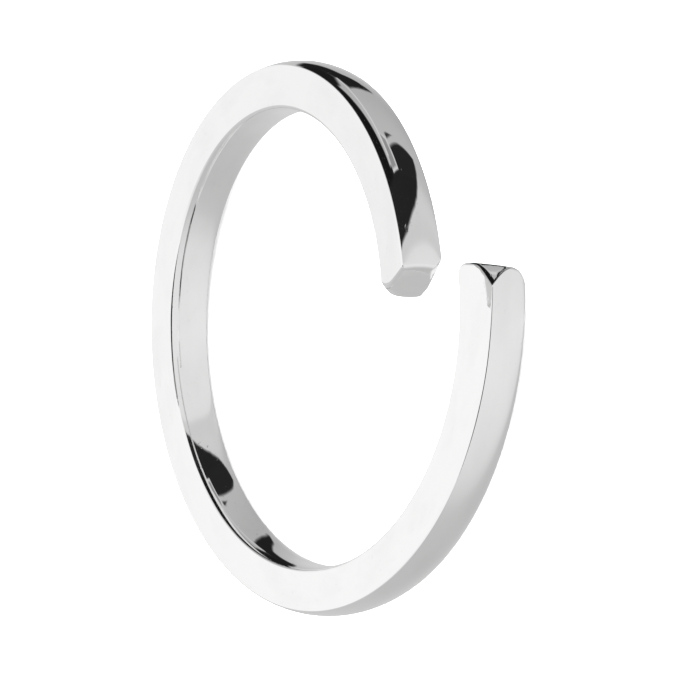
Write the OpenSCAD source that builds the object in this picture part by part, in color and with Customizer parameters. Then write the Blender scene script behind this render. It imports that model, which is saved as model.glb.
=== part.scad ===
// Open wrap ring: one band of square wire whose two ends pass each other.
// It lies on its side, as it rests by itself, with the opening at +X.

/* [Finger size] */
// Diameter of the finger hole
bore_d = 17; // [15:0.1:21]

/* [Band] */
// Thickness of the band at its edges, finger to outside
band_thick = 1.58; // [1.3:0.02:2]
// Width of the band, along the finger
band_wide = 1.68; // [1.4:0.02:2.2]
// Thickness at the two ends, where the band swells outward
end_thick = 1.82; // [1.7:0.02:2.2]
// Width at the two ends
end_wide = 1.6; // [1.6:0.02:2.2]
// How far the outside stands out in a low dome between its edges
crown = 0.2; // [0.05:0.01:0.25]
// Rounding along the four long edges
edge_round = 0.08; // [0.06:0.02:0.3]
// How far the finger side falls back towards its front edge, for comfort
front_ease = 0.21; // [0.12:0.01:0.24]
// The same towards its back edge
back_ease = 0.17; // [0.12:0.01:0.24]

/* [Wrap] */
// Angle that the band goes round, over 360 where the ends pass
turn_deg = 365.5; // [350:0.5:372]
// How far one full turn carries the band along the finger
turn_rise = 3.4; // [2.9:0.05:4.5]
// How far the section has rolled over by each end, in degrees
end_twist = 8; // [0:1:18]

/* [Ends] */
// Slant of the cut ends, the finger side left longer, in degrees
end_slant = 17; // [0:1:30]
// Rounding along the edges of the cut ends
end_round = 0.14; // [0.08:0.02:0.3]
// How far the corners of the cut ends are worn away, 1 being as in the picture
wear = 1; // [0:0.1:1.2]

/* [Hidden] */
silver = [0.87, 0.87, 0.88];
// the wire's finger side starts this far inside the hole and is bored to size
bore_cut = 0.04;
// and its middle stands in by this much from the line through its edges
dome_in = 0.15;
mid_r = bore_d / 2 - bore_cut + dome_in + band_thick / 2;
half_turn = turn_deg / 2;
mm_per_deg = mid_r * PI / 180;
// stations round the edge of a cut end and on the band beside it, in that many steps
cap_steps = 6;
beside_len = 1.5;
beside_steps = 5;
long_steps = 104;
corner_steps = 3;
dome_steps = 6;
flat_steps = 5;
ease_steps = 6;
dome_r = band_wide * band_wide / 8 / crown + crown / 2;
// the slant and the wear fade out over this length of band
slant_len = 3;
// worn corners: which end (1 is the low one), place in the section, depth, reach inward and across,
// and how round the wear is (1 is a flat)
rim = end_thick - band_thick / 2;
worn = [
    [1, rim, end_wide / 2, 0.7, 0.9, 0.95, 1.5],
    [1, rim, -end_wide / 2, 0.6, 0.65, 1, 3],
    [1, -band_thick / 2, end_wide / 2, 0.46, 0.6, 1, 3],
    [-1, -band_thick / 2, end_wide / 2, 0.6, 1, 1, 3],
    [-1, rim, -end_wide / 2, 0.36, 1.3, 0.4, 1]
];
// the tilt that brings the band's underside level, from the two places it rests on
rest_x = -3.3;
rest_y = -4.95;

// Frame of the wire at the angle a, measured from the middle of the band
function part_way(a) = abs(a) / half_turn;
function roll(a) = sign(a) * end_twist * (part_way(a) + pow(part_way(a), 3)) / 2;
function rise(a) = -turn_rise * a / 360;
function out_dir(a) = [-cos(a), -sin(a), 0];
function run_dir(a) =
    let (s = turn_rise / 360 / mm_per_deg)
    [sin(a), -cos(a), -s] / sqrt(1 + s * s);
function side_dir(a) = -cross(run_dir(a), out_dir(a));
function wire_point(a, u, v) =
    let (b = roll(a))
    let (uu = u * cos(b) + v * sin(b), vv = v * cos(b) - u * sin(b))
    out_dir(a) * (mid_r + uu) + side_dir(a) * vv + [0, 0, rise(a)];

// Inset of a side rounded with radius r, at the distance e from the end
function inset(r, e) = e >= r ? 0 : r - sqrt(r * r - (r - e) * (r - e));
// Stations from the low end of the numbering to the other: [angle, distance from the nearer end, size];
// those on the flat of a cut end are smaller copies of its outline
near_end = concat(
    [for (size = [0.08, 0.3, 0.5, 0.68, 0.84]) [0, size]],
    [for (i = [cap_steps:-1:0]) [end_round * (1 - sin(90 * i / cap_steps)), 1]],
    [for (i = [1:beside_steps]) [end_round + (beside_len - end_round) * i / beside_steps, 1]]
);
start = half_turn - beside_len / mm_per_deg;
stations = concat(
    [for (n = near_end) [-half_turn + n[0] / mm_per_deg, n[0], n[1]]],
    [for (i = [1:long_steps]) [-start + 2 * start * i / (long_steps + 1), beside_len, 1]],
    [for (k = [len(near_end) - 1:-1:0]) [half_turn - near_end[k][0] / mm_per_deg, near_end[k][0], near_end[k][1]]]
);

// An arc of the section, as [u, v] points at even angles from one to the other
function arc(cu, cv, r, from, to, steps) = [
    for (k = [0:steps])
        let (q = from + (to - from) * k / steps)
        [cu + r * cos(q), cv + r * sin(q)]
];
// The finger side falls back towards its edges; t goes from -1 at the back to 1 at the front
function ease(t) = (t > 0 ? front_ease : back_ease) * (0.45 * t * t + 0.55 * pow(t, 4));
function eased(p, edge) =
    let (near = min(1, max(0, -2 * p[0] / band_thick)))
    [p[0] + near * (ease(p[1] / edge) - dome_in), p[1]];
// The section: flat front and back, domed outside, and a low dome cut by the hole on the finger side
function section(a, e) =
    let (swell = pow(part_way(a), 4))
    let (thick = band_thick + (end_thick - band_thick) * swell)
    let (wide = band_wide + (end_wide - band_wide) * swell)
    let (cut = inset(end_round, e), rc = edge_round)
    let (w = wide / 2 - cut - rc)
    let (lo = cut + rc - band_thick / 2)
    let (top = thick + crown - band_thick / 2 - cut)
    let (lean = asin(w / (dome_r - rc)))
    let (hi = top - dome_r + (dome_r - rc) * cos(lean))
    let (dome = arc(top - dome_r, 0, dome_r, -lean, lean, dome_steps))
    let (flat = [for (k = [1:flat_steps - 1]) (1 - cos(180 * k / flat_steps)) / 2])
    let (outline = concat(
        [for (k = [1:dome_steps - 1]) dome[k]],
        arc(hi, w, rc, lean, 90, corner_steps),
        [for (t = flat) [hi + (lo - hi) * t, w + rc]],
        arc(lo, w, rc, 90, 180, corner_steps),
        [for (k = [1:ease_steps - 1]) [lo - rc, w * cos(180 * k / ease_steps)]],
        arc(lo, -w, rc, 180, 270, corner_steps),
        [for (t = flat) [lo + (hi - lo) * t, -w - rc]],
        arc(hi, -w, rc, 270, 360 - lean, corner_steps)
    ))
    [for (p = outline) eased(p, w + rc)];

// How much further than its middle the end reaches at a place of the section: the cut is slanted,
// so that the finger side runs on past the outside, and worn away at some corners
function total(list, i = 0) = i == len(list) ? 0 : list[i] + total(list, i + 1);
function end_reach(a, u, v) =
    -u * tan(end_slant) - wear * total([
        for (c = worn)
            if (c[0] * a > 0)
                c[3] * pow(max(0, 1 - abs(c[1] - u) / c[4] - abs(c[2] - v) / c[5]), c[6])
    ]);
function end_shift(a, u, v) =
    let (left = (half_turn - abs(a)) * mm_per_deg)
    let (k = max(0, 1 - left / slant_len))
    k > 0 ? sign(a) * end_reach(a, u, v) * k * k / mm_per_deg : 0;

ring_points = [
    for (s = stations)
        for (p = section(s[0], s[1]) * s[2])
            wire_point(s[0] + end_shift(s[0], p[0], p[1]), p[0], p[1])
];
per_ring = 4 * (corner_steps + 1) + dome_steps - 1 + ease_steps - 1 + 2 * (flat_steps - 1);
rings = len(stations);

// A point of the band once it lies level
function level(p) =
    let (q = p[1] * sin(rest_x) + p[2] * cos(rest_x))
    [
        p[0] * cos(rest_y) + q * sin(rest_y),
        p[1] * cos(rest_x) - p[2] * sin(rest_x),
        q * cos(rest_y) - p[0] * sin(rest_y)
    ];
level_points = [for (p = ring_points) level(p)];
function span(i) = [for (p = level_points) p[i]];
// moves the level band to stand on z = 0 with its box centred on the origin
shift = [
    -(min(span(0)) + max(span(0))) / 2,
    -(min(span(1)) + max(span(1))) / 2,
    -min(span(2))
];

module wire() {
    sides = [
        for (i = [0:rings - 2])
            for (j = [0:per_ring - 1])
                let (k = (j + 1) % per_ring)
                each [
                    [i * per_ring + j, (i + 1) * per_ring + k, (i + 1) * per_ring + j],
                    [i * per_ring + j, i * per_ring + k, (i + 1) * per_ring + k]
                ]
    ];
    first_end = [for (j = [per_ring - 1:-1:0]) j];
    last_end = [for (j = [0:per_ring - 1]) (rings - 1) * per_ring + j];
    polyhedron(points = ring_points, faces = concat(sides, [first_end, last_end]), convexity = 6);
}

module band() {
    color(silver)
        translate(shift)
            rotate([rest_x, rest_y, 0])
                difference() {
                    wire();
                    cylinder(h = 3 * turn_rise + 4 * band_wide, d = bore_d, center = true, $fn = 180);
                }
}

band();
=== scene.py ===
# Open wrap ring of polished silver: a square band whose two ends pass each other.
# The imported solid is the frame; the band here is the same wire, swept finely enough
# to mirror the studio cleanly.
import math

import bpy
from mathutils import Matrix, Vector


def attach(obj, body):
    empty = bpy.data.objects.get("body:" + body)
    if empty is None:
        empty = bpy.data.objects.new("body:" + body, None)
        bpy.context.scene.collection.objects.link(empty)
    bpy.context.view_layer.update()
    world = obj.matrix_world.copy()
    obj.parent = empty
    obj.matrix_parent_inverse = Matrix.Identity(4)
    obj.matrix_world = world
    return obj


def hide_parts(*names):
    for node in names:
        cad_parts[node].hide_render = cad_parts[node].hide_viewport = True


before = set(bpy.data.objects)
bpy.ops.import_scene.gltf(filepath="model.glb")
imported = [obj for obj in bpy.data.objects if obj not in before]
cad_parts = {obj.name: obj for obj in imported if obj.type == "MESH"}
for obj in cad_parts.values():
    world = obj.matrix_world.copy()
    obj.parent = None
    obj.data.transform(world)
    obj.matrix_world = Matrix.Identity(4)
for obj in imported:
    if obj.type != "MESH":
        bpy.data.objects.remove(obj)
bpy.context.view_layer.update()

print("frame loaded:", sorted(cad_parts))
mm = 0.001
degree = math.pi / 180                  # in radians
quarter, half = math.pi / 2, math.pi    # a quarter and half of a turn, in radians


# the camera looks from the side of the overlap, rolled until the picture is upright
view = {
    "aim": (0.49, -0.164, 0.836),                              # mm
    "azimuth": -13.608, "elevation": 38.667, "roll": 90.696,   # degrees
    "distance": 131.88, "near": 1, "far": 5000,                # mm
    "lens": 186.287, "sensor": 36.0,                           # mm
}


def aimedCamera(v):
    az, el = v["azimuth"] * degree, v["elevation"] * degree
    back = Vector((math.cos(el) * math.cos(az), math.cos(el) * math.sin(az), math.sin(el)))
    level = Vector((0, 0, 1)).cross(back).normalized()
    upright = back.cross(level)
    c, s = math.cos(v["roll"] * degree), math.sin(v["roll"] * degree)
    right = level * c - upright * s
    up = upright * c + level * s
    cam = bpy.data.cameras.new("camera")
    cam.lens, cam.sensor_width, cam.sensor_fit = v["lens"], v["sensor"], "AUTO"
    cam.clip_start, cam.clip_end = v["near"] * mm, v["far"] * mm
    ob = bpy.data.objects.new("camera", cam)
    bpy.context.scene.collection.objects.link(ob)
    place = Matrix((right, up, back)).transposed().to_4x4()
    place.translation = (Vector(v["aim"]) + back * v["distance"]) * mm
    ob.matrix_world = place
    bpy.context.scene.camera = ob


aimedCamera(view)
print("camera set")


# feeds fields or plain numbers to a node's inputs in turn, and gives its first output as a field
def fed(tree, node, *values):
    for socket, value in zip(node.inputs, values):
        if isinstance(value, Field):
            tree.links.new(value.socket, socket)
        else:
            socket.default_value = value
    return Field(tree, node.outputs[0])


# a number or vector that varies over a mesh or by direction, so that formulas read as such
class Field:
    def __init__(self, tree, socket):
        self.tree, self.socket = tree, socket

    def step(self, operation, *others):
        node = self.tree.nodes.new("ShaderNodeMath")
        node.operation = operation
        return fed(self.tree, node, self, *others)

    def __add__(self, o): return self.step("ADD", o)
    def __radd__(self, o): return self.step("ADD", o)
    def __sub__(self, o): return self.step("SUBTRACT", o)
    def __rsub__(self, o): return (self * -1).step("ADD", o)
    def __mul__(self, o): return self.step("MULTIPLY", o)
    def __rmul__(self, o): return self.step("MULTIPLY", o)
    def __truediv__(self, o): return self.step("DIVIDE", o)
    def __pow__(self, o): return self.step("POWER", o)
    def __neg__(self): return self * -1
    def sin(self): return self.step("SINE")
    def cos(self): return self.step("COSINE")
    def tan(self): return self.step("TANGENT")
    def asin(self): return self.step("ARCSINE")
    def atan2(self, o): return self.step("ARCTAN2", o)
    def root(self): return self.step("SQRT")
    def size(self): return self.step("ABSOLUTE")
    def sign(self): return self.step("SIGN")
    def least(self, o): return self.step("MINIMUM", o)
    def most(self, o): return self.step("MAXIMUM", o)
    def below(self, o): return self.step("LESS_THAN", o)
    def over(self, o): return self.step("GREATER_THAN", o)

    # 0 up to low, 1 from high on, even in between
    def ramp(self, low, high):
        node = self.tree.nodes.new("ShaderNodeMapRange")
        node.clamp = True
        return fed(self.tree, node, self, low, high)


def combine(tree, x, y, z):
    return fed(tree, tree.nodes.new("ShaderNodeCombineXYZ"), x, y, z)


def parts(tree, vector):
    node = tree.nodes.new("ShaderNodeSeparateXYZ")
    tree.links.new(vector.socket, node.inputs[0])
    return [Field(tree, s) for s in node.outputs]


# the studio is what the polished metal mirrors, by direction:
# azimuth and elevation are in degrees, greys as they look in the picture (0 black, 1 white)
studio = {
    "open": 4.5,               # light that the floor gets from the open room, over-exposed as in the picture
    "walls": 36, "high": 58,   # the walls' greys hold below "walls" and fade into the ceiling at "high"
    "ceiling": 0.985,
    "gamma": 2.2,              # turns the greys into light
}
# greys of the walls and the table, going round by azimuth
wallTones = [
    (-180, 0.825), (-150, 0.785), (-125, 0.752), (-105, 0.745), (-85, 0.76), (-72, 0.82), (-60, 0.865),
    (-45, 0.89), (-22, 0.91), (0, 0.893), (23, 0.87), (28, 0.8), (40, 0.81), (60, 0.73), (80, 0.71),
    (110, 0.685), (130, 0.73), (150, 0.81), (180, 0.825),
]
# white panels, black flags and dark gear round the set, each over the ones before it:
# grey, softness of the edge, corners (azimuth, elevation)
cards = {
    "whitePanel": (0.985, 4, [(133, 90), (133, -18), (150, -26), (165, -26), (180, -20), (180, 90)]),
    "panelFoot": (0.95, 11, [(136, 20), (136, -14), (180, -14), (180, 20)]),
    "panelRim": (0.8, 2, [(166, 11), (166, -20), (180, -20), (180, 20), (173, 20)]),
    "flagLeft": (0.155, 1, [
        (32, 30), (32.4, 10), (36, -6), (39, -18), (43.5, -28), (50, -36), (58, -41), (58, 42), (38, 37),
    ]),
    "flagFoot": (0.16, 1, [
        (52, -9), (52, -37.5), (60, -43.5), (66, -46), (72, -47), (68.5, -29), (67, -12.5),
    ]),
    "flagTop": (0.11, 1, [(54, 42), (54, 4.5), (62, 2), (90, -9), (105, -14.5), (110, 26), (95, 40)]),
    "flagRight": (0.13, 1.2, [
        (103, 36), (103, -13.5), (110, -21), (124, -25.5), (129, -21), (122, -4), (116, 20), (110, 32),
    ]),
    "tripod": (0.14, 1.2, [
        (101, -21), (103, -28.5), (106.5, -36), (111, -41),
        (114, -42), (116.5, -38), (118, -33.5), (118, -22),
    ]),
    "tripodArm": (0.14, 1.2, [(114, -24), (114, -33), (134, -29.5), (128, -20.5)]),
    "railFrame": (0.8, 0.5, [(54.8, 1.5), (54.8, -10), (70, -13.5), (74, -6)]),
    "rail": (0.56, 0.6, [(56.6, 0.4), (56.6, -8), (69, -11.3), (73, -7)]),
    "railEdge": (0.82, 0.5, [(62, -1.2), (62, -3.2), (110, -22.6), (110, -21.3)]),
    "ceilingBeam": (0.5, 1, [(-30, 42), (-30, 80), (50, 80), (15, 42)]),
    "camera": (0.2, 1, [(-75, 42), (-75, 80), (30, 80), (7, 60), (5, 42)]),
    "clip": (0.24, 0.7, [(69.5, -15), (70.5, -20), (72, -25), (72.7, -19), (72, -15.5)]),
}


def studioLight(s, tones, cards):
    world = bpy.data.worlds.new("studio")
    bpy.context.scene.world = world
    world.use_nodes = True
    tree = world.node_tree
    tree.nodes.clear()
    where = tree.nodes.new("ShaderNodeTexCoord")
    x, y, z = parts(tree, Field(tree, where.outputs["Generated"]))
    azimuth = y.atan2(x) / degree
    elevation = z.asin() / degree

    walls = tree.nodes.new("ShaderNodeFloatCurve")
    tree.links.new(((azimuth + 180) / 360).socket, walls.inputs["Value"])
    curve = walls.mapping.curves[0]
    points = [((az + 180) / 360, grey) for az, grey in tones]
    curve.points[0].location, curve.points[1].location = points[0], points[-1]
    for place in points[1:-1]:
        curve.points.new(*place)
    walls.mapping.update()
    tone = Field(tree, walls.outputs[0])
    tone = tone + (s["ceiling"] - tone) * elevation.ramp(s["walls"], s["high"])

    # a card is the overlap of the half planes inside its edges, so its outline bulges outward only
    for grey, soft, corners in cards.values():
        middle = [sum(c[i] for c in corners) / len(corners) for i in (0, 1)]
        inside = None
        for (ax, ay), (bx, by) in zip(corners, corners[1:] + corners[:1]):
            long = math.hypot(bx - ax, by - ay)
            nx, ny = (ay - by) / long, (bx - ax) / long
            if (middle[0] - ax) * nx + (middle[1] - ay) * ny < 0:
                nx, ny = -nx, -ny
            depth = azimuth * nx + elevation * ny - (ax * nx + ay * ny)
            inside = depth if inside is None else inside.least(depth)
        tone = tone + (grey - tone) * inside.ramp(-soft, soft)

    # only mirror rays see the walls and cards; everything else gets the plain white room
    mirrored = tree.nodes.new("ShaderNodeBackground")
    tree.links.new((tone ** s["gamma"]).socket, mirrored.inputs["Color"])
    plain = tree.nodes.new("ShaderNodeBackground")
    plain.inputs["Color"].default_value = (1, 1, 1, 1)
    plain.inputs["Strength"].default_value = s["open"]
    path = tree.nodes.new("ShaderNodeLightPath")
    pick = tree.nodes.new("ShaderNodeMixShader")
    tree.links.new(path.outputs["Is Glossy Ray"], pick.inputs[0])
    tree.links.new(plain.outputs[0], pick.inputs[1])
    tree.links.new(mirrored.outputs[0], pick.inputs[2])
    out = tree.nodes.new("ShaderNodeOutputWorld")
    tree.links.new(pick.outputs[0], out.inputs["Surface"])


studioLight(studio, wallTones, cards)


floor = {"radius": 400, "sides": 96, "grey": 0.9, "roughness": 0.9, "shine": 0.1}   # mm


def paleFloor(f):
    material = bpy.data.materials.new("paleFloor")
    material.use_nodes = True
    bsdf = material.node_tree.nodes["Principled BSDF"]
    bsdf.inputs["Base Color"].default_value = (f["grey"], f["grey"], f["grey"], 1)
    bsdf.inputs["Roughness"].default_value = f["roughness"]
    bsdf.inputs["Specular IOR Level"].default_value = f["shine"]
    r, n = f["radius"] * mm, f["sides"]
    angles = [2 * math.pi * i / n for i in range(n)]
    rim = [(r * math.cos(a), r * math.sin(a), 0) for a in angles]
    mesh = bpy.data.meshes.new("floor")
    mesh.from_pydata(rim, [], [list(range(n))])
    mesh.materials.append(material)
    ob = bpy.data.objects.new("floor", mesh)
    bpy.context.scene.collection.objects.link(ob)
    ob.visible_glossy = False      # the metal mirrors the studio, not the floor that it lies on


paleFloor(floor)


softbox = {"size": 160, "place": (20, 10, 220), "power": 0.15}   # mm, mm, W


def overheadLight(s):
    light = bpy.data.lights.new("softbox", "AREA")
    light.shape, light.size, light.energy = "DISK", s["size"] * mm, s["power"]
    ob = bpy.data.objects.new("softbox", light)
    bpy.context.scene.collection.objects.link(ob)
    ob.location = Vector(s["place"]) * mm
    ob.visible_glossy = False


overheadLight(softbox)
bpy.context.scene.view_settings.view_transform = "Standard"
print("studio set")


# sizes of the band in millimetres and degrees: those of the solid, with the eases
# counted from the hole itself
band = {
    "Hole Diameter": 17.0,
    "Thickness": 1.58,       # at the long edges, finger to outside
    "Width": 1.68,           # along the finger
    "End Thickness": 1.82,
    "End Width": 1.6,
    "Crown": 0.2,            # how far the outside stands out between its edges
    "Dome In": 0.11,         # how far the finger side stands in between its edges, before it is eased
    "Edge Rounding": 0.08,
    "Front Ease": 0.17,      # how far the finger side falls back by its front edge
    "Back Ease": 0.13,       # and by its back edge
    "Early Ease": 0.45,      # share of that fall which starts early, the rest comes near the edge
    "Turn": 365.5,           # how far the band goes round
    "Rise per Turn": 3.4,    # along the finger
    "End Roll": 8.0,         # how far the section has rolled over by each end
    "End Slant": 17.0,
    "End Rounding": 0.14,
    "Wear": 1.0,             # of the corners below, 1 being as in the picture
    "Slant Length": 3.0,     # the slant and the wear fade out over this length of band
    "Rest Tilt X": -3.3,     # these bring the band level
    "Rest Tilt Y": -4.95,
    "Place X": -0.192,       # and these stand it on the floor, over the origin
    "Place Z": 1.718,
}
# corners of the cut ends that are worn away: end (1 is the low one), outside or finger side,
# front or back, depth, reach inward and across, in mm, and how round the wear is (1 is a flat)
wornCorners = [
    (1, "outside", "front", 0.7, 0.9, 0.95, 1.5),
    (1, "outside", "back", 0.6, 0.65, 1.0, 3.0),
    (1, "finger", "front", 0.46, 0.6, 1.0, 3.0),
    (-1, "finger", "front", 0.6, 1.0, 1.0, 3.0),
    (-1, "outside", "back", 0.36, 1.3, 0.4, 1.0),
]
# how finely the wire is swept: stations on the flat of an end, round its edge and on to the middle,
# then points round the section, on half the finger side and on each of the other parts
bandSteps = {
    "face": 16, "cap": 12, "between": 290,
    "finger": 9, "corner": 8, "flat": 10, "dome": 26,
    "join": 0.0002,   # mm, points nearer than this become one
}
# the parts of the section in their order, from the middle of the finger side round by the front
sectionParts = {
    "fingerFront": "finger", "lowFront": "corner", "front": "flat", "highFront": "corner", "dome": "dome",
    "highBack": "corner", "back": "flat", "lowBack": "corner", "fingerBack": "finger",
}


# a point of the section: u goes out from the middle of the wire, s across it to the front;
# end is the distance from the nearer end, and way runs from 0 at the middle of the band to 1 at an end
def bandSection(v, point, end, way, steps, order):
    # how far a point has come through each part of the section, from 0 to 1
    through, first = {}, 0
    for name, kind in order.items():
        last = first + steps[kind]
        through[name] = point.ramp(first, last)
        first = last
    onDome = through["dome"].over(0) * through["dome"].below(1)

    # flat front and back, low dome outside, lightly rounded edges; it shrinks where an end is rounded off
    inside = (v["End Rounding"] - end).most(0)
    inset = v["End Rounding"] - (v["End Rounding"] ** 2 - inside * inside).most(0).root()
    swell = way ** 4
    thick = v["Thickness"] + (v["End Thickness"] - v["Thickness"]) * swell
    wide = v["Width"] + (v["End Width"] - v["Width"]) * swell
    corner = v["Edge Rounding"]
    domeR = v["Width"] * v["Width"] / 8 / v["Crown"] + v["Crown"] / 2
    w = wide / 2 - inset - corner
    low = inset + corner - v["Thickness"] / 2
    top = thick + v["Crown"] - v["Thickness"] / 2 - inset
    lean = (w / (domeR - corner)).asin()
    high = top - domeR + (domeR - corner) * lean.cos()
    facing = (
        half - quarter * through["lowFront"] - (quarter - lean) * through["highFront"]
        - 2 * lean * through["dome"]
        - (quarter - lean) * through["highBack"] - quarter * through["lowBack"]
    )

    # closer together near the edges, so that the flats stay flat right up to them
    def eased(part):
        return 0.5 - (part * half).cos() / 2
    outAt = eased(through["front"]) - eased(through["back"])
    acrossAt = (
        (through["fingerFront"] * quarter).sin() - 2 * through["dome"]
        + 1 - ((1 - through["fingerBack"]) * quarter).sin()
    )
    domeU = top - domeR + (domeR - corner) * facing.cos()
    domeS = (domeR - corner) * facing.sin()
    coreU = onDome * domeU + (1 - onDome) * (low + (high - low) * outAt)
    coreS = onDome * domeS + (1 - onDome) * w * acrossAt
    u = coreU + corner * facing.cos()
    s = coreS + corner * facing.sin()

    # for comfort the finger side falls back towards its edges
    across = s / (w + corner)
    front = s.over(0)
    fall = v["Early Ease"] * across ** 2 + (1 - v["Early Ease"]) * across ** 4
    ease = (v["Front Ease"] * front + v["Back Ease"] * (1 - front)) * fall
    return u + (ease - v["Dome In"]) * u.ramp(0, v["Thickness"] / -2), s


# how much further than its middle an end reaches: the cut is slanted, so that the finger side
# runs on past the outside, and some corners are worn away
def endReach(v, far, u, s, corners):
    reach = u * (v["End Slant"] * degree).tan() * -1
    for which, outer, facingSide, depth, inward, over, bend in corners:
        atU = v["End Thickness"] - v["Thickness"] / 2 if outer == "outside" else v["Thickness"] / -2
        atS = v["End Width"] / (2 if facingSide == "front" else -2)
        lost = (1 - (atU - u).size() / inward - (atS - s).size() / over).most(0) ** bend * depth
        reach = reach - lost * v["Wear"] * (far * which).over(0)
    return reach


# carries the section round the finger: it rolls over towards the ends and climbs along the finger
def wrapRound(v, midR, halfTurn, far, angle, u, s):
    way = angle.size() / halfTurn
    roll = far * v["End Roll"] * degree * (way + way ** 3) / 2
    out = u * roll.cos() + s * roll.sin()
    side = s * roll.cos() - u * roll.sin()
    risePerRadian = v["Rise per Turn"] / (2 * math.pi)
    pitch = risePerRadian / midR
    scale = (1 + pitch * pitch).root()
    radius = midR + out
    x = -angle.cos() * radius + angle.sin() * pitch / scale * side
    y = -angle.sin() * radius - angle.cos() * pitch / scale * side
    z = side / scale - risePerRadian * angle
    # the finger side is bored to a true cylinder
    grow = (v["Hole Diameter"] / 2 / (x * x + y * y).root()).most(1)
    return x * grow, y * grow, z


def silverBand(sizes, corners, steps, order, material):
    tree = bpy.data.node_groups.new("wrapBand", "GeometryNodeTree")
    tree.interface.new_socket("Geometry", in_out="INPUT", socket_type="NodeSocketGeometry")
    tree.interface.new_socket("Geometry", in_out="OUTPUT", socket_type="NodeSocketGeometry")
    for name in sizes:
        tree.interface.new_socket(name, in_out="INPUT", socket_type="NodeSocketFloat")
    tree.interface.new_socket("Metal", in_out="INPUT", socket_type="NodeSocketMaterial")
    start = tree.nodes.new("NodeGroupInput")
    v = {name: Field(tree, start.outputs[name]) for name in sizes}

    # a sheet of quads, one row for each station of the wire and one column for each point round its section
    stations = 2 * (steps["face"] + steps["cap"] + steps["between"]) + 1
    columns = sum(steps[kind] for kind in order.values())
    grid = tree.nodes.new("GeometryNodeMeshGrid")
    grid.inputs["Vertices X"].default_value = stations
    grid.inputs["Vertices Y"].default_value = columns + 1
    along, around, _ = parts(tree, Field(tree, grid.outputs["UV Map"]))
    station = along * (stations - 1)
    point = around * columns
    fromEnd = station.least(stations - 1 - station)
    far = (along - 0.5).sign()

    # place along the wire: distance from the nearer end, and angle from the middle
    midR = v["Hole Diameter"] / 2 + v["Dome In"] + v["Thickness"] / 2
    halfTurn = v["Turn"] * (degree / 2)
    faceEnd, capEnd = steps["face"], steps["face"] + steps["cap"]
    face = fromEnd.ramp(0, faceEnd)
    cap = fromEnd.ramp(faceEnd, capEnd)
    rest = fromEnd.ramp(capEnd, (stations - 1) / 2)
    end = v["End Rounding"] * (1 - (cap * quarter).cos()) + (halfTurn * midR - v["End Rounding"]) * rest
    angle = far * (halfTurn - end / midR)
    u, s = bandSection(v, point, end, angle.size() / halfTurn, steps, order)
    u, s = u * face, s * face   # the flat of an end is filled with smaller copies of its outline
    near = (1 - end / v["Slant Length"]).most(0)
    angle = angle + far * endReach(v, far, u, s, corners) * near * near / midR
    x, y, z = wrapRound(v, midR, halfTurn, far, angle, u, s)

    # the band is tilted until it lies level, and stands on the floor
    tilt = combine(tree, v["Rest Tilt X"] * degree, v["Rest Tilt Y"] * degree, 0)
    turned = tree.nodes.new("ShaderNodeVectorRotate")
    turned.rotation_type = "EULER_XYZ"
    tree.links.new(combine(tree, x, y, z).socket, turned.inputs["Vector"])
    tree.links.new(tilt.socket, turned.inputs["Rotation"])
    px, py, pz = parts(tree, Field(tree, turned.outputs[0]))
    spot = combine(tree, (px + v["Place X"]) * mm, py * mm, (pz + v["Place Z"]) * mm)
    place = tree.nodes.new("GeometryNodeSetPosition")
    tree.links.new(grid.outputs["Mesh"], place.inputs["Geometry"])
    tree.links.new(spot.socket, place.inputs["Position"])

    # the wire's own coordinates, for finishes that run along it
    keep = tree.nodes.new("GeometryNodeStoreNamedAttribute")
    keep.data_type, keep.domain = "FLOAT_VECTOR", "POINT"
    keep.inputs["Name"].default_value = "wire"
    tree.links.new(place.outputs[0], keep.inputs["Geometry"])
    tree.links.new(combine(tree, angle * midR, u, s).socket, keep.inputs["Value"])

    merge = tree.nodes.new("GeometryNodeMergeByDistance")
    merge.inputs["Distance"].default_value = steps["join"] * mm
    outward = tree.nodes.new("GeometryNodeFlipFaces")
    smooth = tree.nodes.new("GeometryNodeSetShadeSmooth")
    real = tree.nodes.new("GeometryNodeRealizeInstances")
    paint = tree.nodes.new("GeometryNodeSetMaterial")
    tree.links.new(start.outputs["Metal"], paint.inputs["Material"])
    result = tree.nodes.new("NodeGroupOutput")
    chain = [keep, merge, outward, smooth, real, paint, result]
    for a, b in zip(chain, chain[1:]):
        tree.links.new(a.outputs[0], b.inputs[0])

    source = bpy.data.objects.new("wireTemplate", bpy.data.meshes.new("wireTemplate"))
    bpy.context.scene.collection.objects.link(source)
    sweep = source.modifiers.new("wrap", "NODES")
    sweep.node_group = tree
    for item in tree.interface.items_tree:
        if item.in_out == "INPUT" and item.name in sizes:
            sweep[item.identifier] = float(sizes[item.name])
        if item.in_out == "INPUT" and item.name == "Metal":
            sweep[item.identifier] = material
    bpy.context.view_layer.update()
    mesh = bpy.data.meshes.new_from_object(source.evaluated_get(bpy.context.evaluated_depsgraph_get()))
    bpy.data.objects.remove(source)
    mesh.name = "silverBand"
    ob = bpy.data.objects.new("silverBand", mesh)
    bpy.context.scene.collection.objects.link(ob)
    return ob


finish = {
    "grey": 0.957, "tint": (1, 0.999, 0.997),        # the metal's own tone
    "tarnish": 0.035, "scuffTone": 0.02,             # how much duller it is in patches and on scuffs
    "polish": 0.016,                                 # roughness of the untouched polish
    "hairline": 0.03, "scuff": 0.07, "worn": 0.02,   # what hairlines, scuffs and the finger side add to it
    "sway": 0.0022, "ripple": 0.00022, "dent": 0.0011,   # heights in mm: long waves, hairlines, scuffs
    # the noise values between which a mark comes up from nothing to its full strength
    "hairlineFrom": (0.5, 0.8), "tarnishFrom": (0.45, 0.75), "scuffPatchFrom": (0.42, 0.6),
    "scuffFrom": (0.66, 0.72), "crossScuffFrom": (0.68, 0.73),
    "wornFrom": (-0.3, -0.5),                        # the finger side, in thicknesses out from the middle
}
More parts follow.
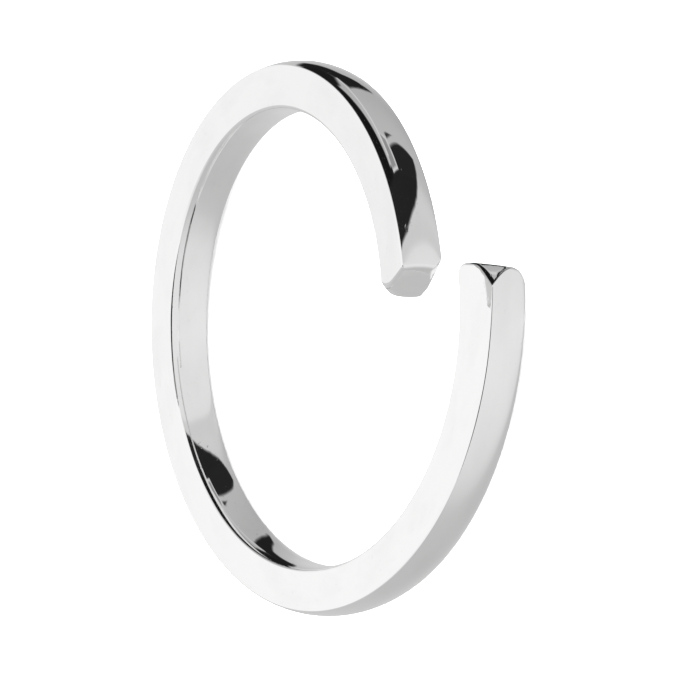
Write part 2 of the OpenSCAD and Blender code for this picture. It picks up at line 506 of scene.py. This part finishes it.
# the noise of each mark: waves to a mm along the band, out and across it, a row for each axis of the noise
marks = {
    "sway": {"rows": [(0.32, 0, 0), (0, 0.7, 0), (0, 0, 0.7)], "detail": 1},
    "hairline": {"rows": [(0.45, 0, 0), (0, 13, 0), (0, 0, 13)], "detail": 3, "roughness": 0.65},
    "scuff": {"rows": [(1.1, 0, 5), (0.4, 6, 0), (-3, 0, 2.2)], "detail": 2},
    "crossScuff": {"rows": [(4, 0, -1.4), (0, 3, 0), (1.2, 0, 6)], "shift": (0, 7, 0), "detail": 2},
    "patch": {"rows": [(0.5, 0, 0), (0, 0.9, 0), (0, 0, 0.9)], "shift": (3, 0, 0), "detail": 2},
}


def polishedSilver(f, marks, thickness):
    material = bpy.data.materials.new("polishedSilver")
    material.use_nodes = True
    tree = material.node_tree
    bsdf = tree.nodes["Principled BSDF"]
    wire = tree.nodes.new("ShaderNodeAttribute")
    wire.attribute_name = "wire"
    along, out, side = parts(tree, Field(tree, wire.outputs["Vector"]))

    def noise(rows, detail, roughness=0.5, shift=(0, 0, 0)):
        axes = []
        for row, axis in zip(rows, shift):
            for way, waves in zip((along, out, side), row):
                if waves:
                    axis = way * waves + axis
            axes.append(axis)
        node = tree.nodes.new("ShaderNodeTexNoise")
        tree.links.new(combine(tree, *axes).socket, node.inputs["Vector"])
        node.inputs["Scale"].default_value = 1
        node.inputs["Detail"].default_value = detail
        node.inputs["Roughness"].default_value = roughness
        return Field(tree, node.outputs["Fac"])

    # hand polishing leaves long waves, and hairlines that run along the band; wear adds short scuffs
    sway, hairline, patch = noise(**marks["sway"]), noise(**marks["hairline"]), noise(**marks["patch"])
    oneWay = noise(**marks["scuff"]).ramp(*f["scuffFrom"])
    otherWay = noise(**marks["crossScuff"]).ramp(*f["crossScuffFrom"])
    scuff = (oneWay + otherWay).least(1) * patch.ramp(*f["scuffPatchFrom"])
    fingerSide = out.ramp(*(thickness * share for share in f["wornFrom"]))

    height = sway * f["sway"] + hairline * f["ripple"] - scuff * f["dent"]
    bump = tree.nodes.new("ShaderNodeBump")
    bump.inputs["Distance"].default_value = mm
    tree.links.new(height.socket, bump.inputs["Height"])
    tree.links.new(bump.outputs[0], bsdf.inputs["Normal"])

    rough = f["polish"] + hairline.ramp(*f["hairlineFrom"]) * f["hairline"]
    rough = rough + scuff * f["scuff"] + fingerSide * f["worn"]
    tree.links.new(rough.socket, bsdf.inputs["Roughness"])
    grey = f["grey"] - patch.ramp(*f["tarnishFrom"]) * f["tarnish"] - scuff * f["scuffTone"]
    tree.links.new(combine(tree, *(grey * share for share in f["tint"])).socket, bsdf.inputs["Base Color"])
    bsdf.inputs["Metallic"].default_value = 1
    return material


silver = polishedSilver(finish, marks, band["Thickness"])
silverBandPiece = silverBand(band, wornCorners, bandSteps, sectionParts, silver)
swept = silverBandPiece.data
print("band swept:", len(swept.vertices), "points", len(swept.polygons), "faces")
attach(silverBandPiece, "root")
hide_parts("band")
